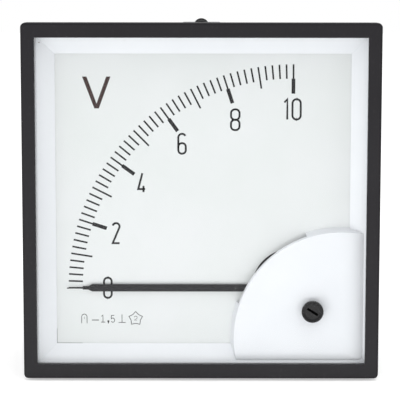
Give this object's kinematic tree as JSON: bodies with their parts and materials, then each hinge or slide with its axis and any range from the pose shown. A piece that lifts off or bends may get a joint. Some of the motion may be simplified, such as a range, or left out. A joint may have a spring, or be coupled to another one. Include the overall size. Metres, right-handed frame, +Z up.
{
  "type": "analog panel meter",
  "caption": "Square moving-coil panel meter with a quadrant scale, a knife-edge pointer, a zero adjuster, screw clamps and stud terminals.",
  "frame": {"origin": "centre of the panel plane, where the back of the bezel seats on the front of the panel", "axes": "+X to the right and +Z up as the dial is read from the front; +Y into the panel, along the studs"},
  "size_m": [0.096, 0.0725, 0.0972],
  "materials": {
    "bezel_plastic": "satin",
    "case_plastic": "satin",
    "window_glass": "polished",
    "white_plastic": "satin",
    "dial_paint": "matt",
    "dial_ink": "matt",
    "adjuster_plastic": "satin",
    "pointer_paint": "matt black",
    "brass_parts": "machined",
    "bright_steel": "bright",
    "zinc_steel": "zinc plated",
    "soft_iron": "ground",
    "magnet": "ground",
    "alloy": "satin",
    "copper_wire": "enamelled",
    "jewel": "polished",
    "carrier_plastic": "satin",
    "board": "lacquered",
    "resistor": "gloss",
    "wire_cover": "satin",
    "pad_rubber": "satin"
  },
  "bodies": {
    "case": {"bezel": "bezel_plastic", "front_glass": "window_glass", "scale_mask": "white_plastic", "quadrant_cover": "white_plastic", "dial_plate": "dial_paint", "scale_marks": "dial_ink", "dial_screws": "bright_steel", "front_bridge": "alloy", "front_bridge_pillars": "brass_parts", "front_bridge_screws": "bright_steel", "front_jewel_screw": "brass_parts", "front_lock_nut": "brass_parts", "jewels": "jewel", "core_magnet": "magnet", "core_holders": "alloy", "yoke_ring": "soft_iron", "rear_spring": "brass_parts", "rear_spring_stud": "brass_parts", "rear_bridge": "alloy", "rear_bridge_pillars": "brass_parts", "rear_bridge_screws": "bright_steel", "rear_jewel_screw": "brass_parts", "rear_lock_nut": "brass_parts", "movement_carrier": "carrier_plastic", "carrier_screws": "bright_steel", "resistor_board": "board", "series_resistor": "resistor", "board_nuts": "brass_parts", "lead_wires": "wire_cover", "housing": "case_plastic", "terminal_studs": "brass_parts", "terminal_nuts": "brass_parts", "terminal_washers": "brass_parts", "spring_washers": "zinc_steel", "clamp_brackets": "zinc_steel"},
    "zero_adjuster": {"zero_screw": "adjuster_plastic", "zero_screw_clip": "bright_steel"},
    "zero_arm": {"zero_lever": "brass_parts", "front_spring": "brass_parts"},
    "moving_coil": {"pointer": "pointer_paint", "balance_cross": "alloy", "balance_weights": "brass_parts", "coil_former": "alloy", "coil_winding": "copper_wire", "front_staff": "bright_steel", "rear_staff": "bright_steel"},
    "top_pad": {"clamp_pad_top": "pad_rubber"},
    "bottom_pad": {"clamp_pad_bottom": "pad_rubber"},
    "top_screw": {"clamp_screw_top": "zinc_steel"},
    "bottom_screw": {"clamp_screw_bottom": "zinc_steel"}
  },
  "joints": [
    {"name": "zero_adjuster_turn", "type": "hinge", "parent": "case", "child": "zero_adjuster", "pos_m": [0.0301, -0.004, -0.0297], "axis": [0, 1, 0], "range_deg": [-60, 60]},
    {"name": "zero_arm_turn", "type": "hinge", "parent": "case", "child": "zero_arm", "pos_m": [0.0245, 0.01, -0.0241], "axis": [0, 1, 0], "range_deg": [-4, 4], "deforming": ["rear_spring"]},
    {"name": "pointer_turn", "type": "hinge", "parent": "zero_arm", "child": "moving_coil", "pos_m": [0.0245, 0.01, -0.0241], "axis": [0, 1, 0], "range_deg": [-1.5, 93], "stiffness_Nm_per_rad": 0.00004, "deforming": ["front_spring", "rear_spring"]},
    {"name": "top_screw_turn", "type": "hinge", "parent": "top_pad", "child": "top_screw", "pos_m": [0, 0.025, 0.0461], "axis": [0, -1, 0], "range_deg": [0, 1440]},
    {"name": "top_pad_slide", "type": "slide", "parent": "case", "child": "top_pad", "axis": [0, -1, 0], "range_m": [0, 0.002]},
    {"name": "bottom_screw_turn", "type": "hinge", "parent": "bottom_pad", "child": "bottom_screw", "pos_m": [0, 0.025, -0.0461], "axis": [0, -1, 0], "range_deg": [0, 1440]},
    {"name": "bottom_pad_slide", "type": "slide", "parent": "case", "child": "bottom_pad", "axis": [0, -1, 0], "range_m": [0, 0.002]}
  ],
  "couplings": [
    {"joint": "zero_arm_turn", "follows": "zero_adjuster_turn", "ratio": 0.063},
    {"joint": "top_screw_turn", "follows": "top_pad_slide", "rad_per_m": 12566},
    {"joint": "bottom_screw_turn", "follows": "bottom_pad_slide", "rad_per_m": 12566}
  ]
}
